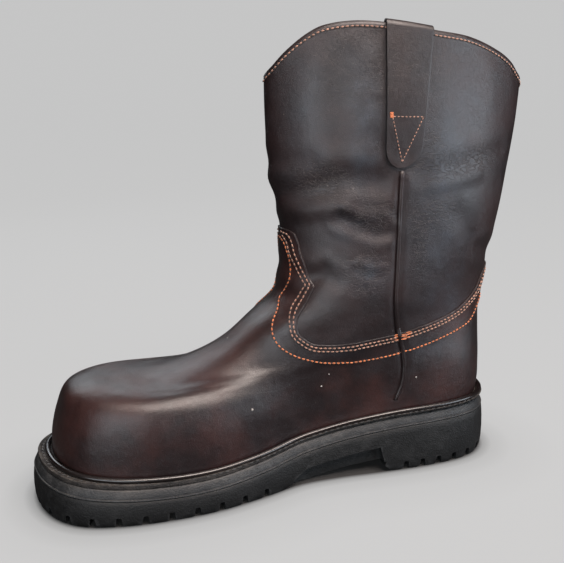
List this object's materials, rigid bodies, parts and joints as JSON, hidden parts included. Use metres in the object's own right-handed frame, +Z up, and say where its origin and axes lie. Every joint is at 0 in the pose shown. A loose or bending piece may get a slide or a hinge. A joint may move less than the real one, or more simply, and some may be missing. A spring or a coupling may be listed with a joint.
{
  "type": "work boot",
  "caption": "Pull-on leather work boot for the right foot: tall scalloped shaft, rounded safety toe, storm welt and a thick lugged rubber sole with a heel block",
  "frame": {"origin": "on the floor under the centre of the boot's bounding box", "axes": "+Z up, -X towards the toe, -Y towards the inner side of the foot"},
  "size_m": [0.3466, 0.121, 0.3027],
  "materials": {
    "sole_rubber": "matte moulded rubber, lightly scuffed",
    "midsole_rubber": "matte dark grey rubber band",
    "welt_rubber": "satin black strip with a glossy bead",
    "oiled_leather": "oiled dark oxblood brown leather with a soft grey sheen and creases",
    "insole_leather": "matte natural leather",
    "piping_leather": "satin dark brown leather cord"
  },
  "bodies": {
    "root": {"outsole": "sole_rubber", "midsole": "midsole_rubber", "welt": "welt_rubber", "upper": "oiled_leather", "insole": "insole_leather", "pull_strap_inner": "oiled_leather", "pull_strap_outer": "oiled_leather", "side_piping_inner": "piping_leather", "side_piping_outer": "piping_leather"}
  },
  "joints": []
}
